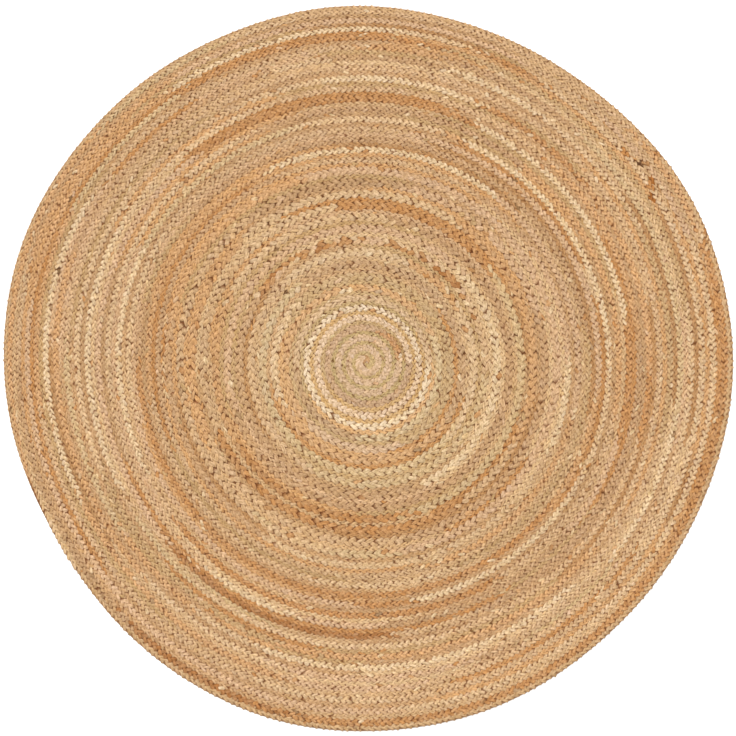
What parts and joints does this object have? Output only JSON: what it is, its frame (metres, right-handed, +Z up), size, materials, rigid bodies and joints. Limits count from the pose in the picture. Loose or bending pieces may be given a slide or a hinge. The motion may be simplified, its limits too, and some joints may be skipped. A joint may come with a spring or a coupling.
{
  "type": "round jute rug",
  "caption": "Flat round rug made of a jute plait wound outward from the middle and sewn edge to edge, with an uneven hand-made edge",
  "frame": {"origin": "on the floor, under the middle of the rug's bounding box", "axes": "+Z up, out of the face that shows; +X to the right and +Y to the top of the picture"},
  "size_m": [1.5122, 1.504, 0.009],
  "materials": {
    "jute": "plaited natural jute fibre, matt, straw to ginger tan"
  },
  "bodies": {
    "root": {"plaited_coil": "jute"}
  },
  "joints": []
}
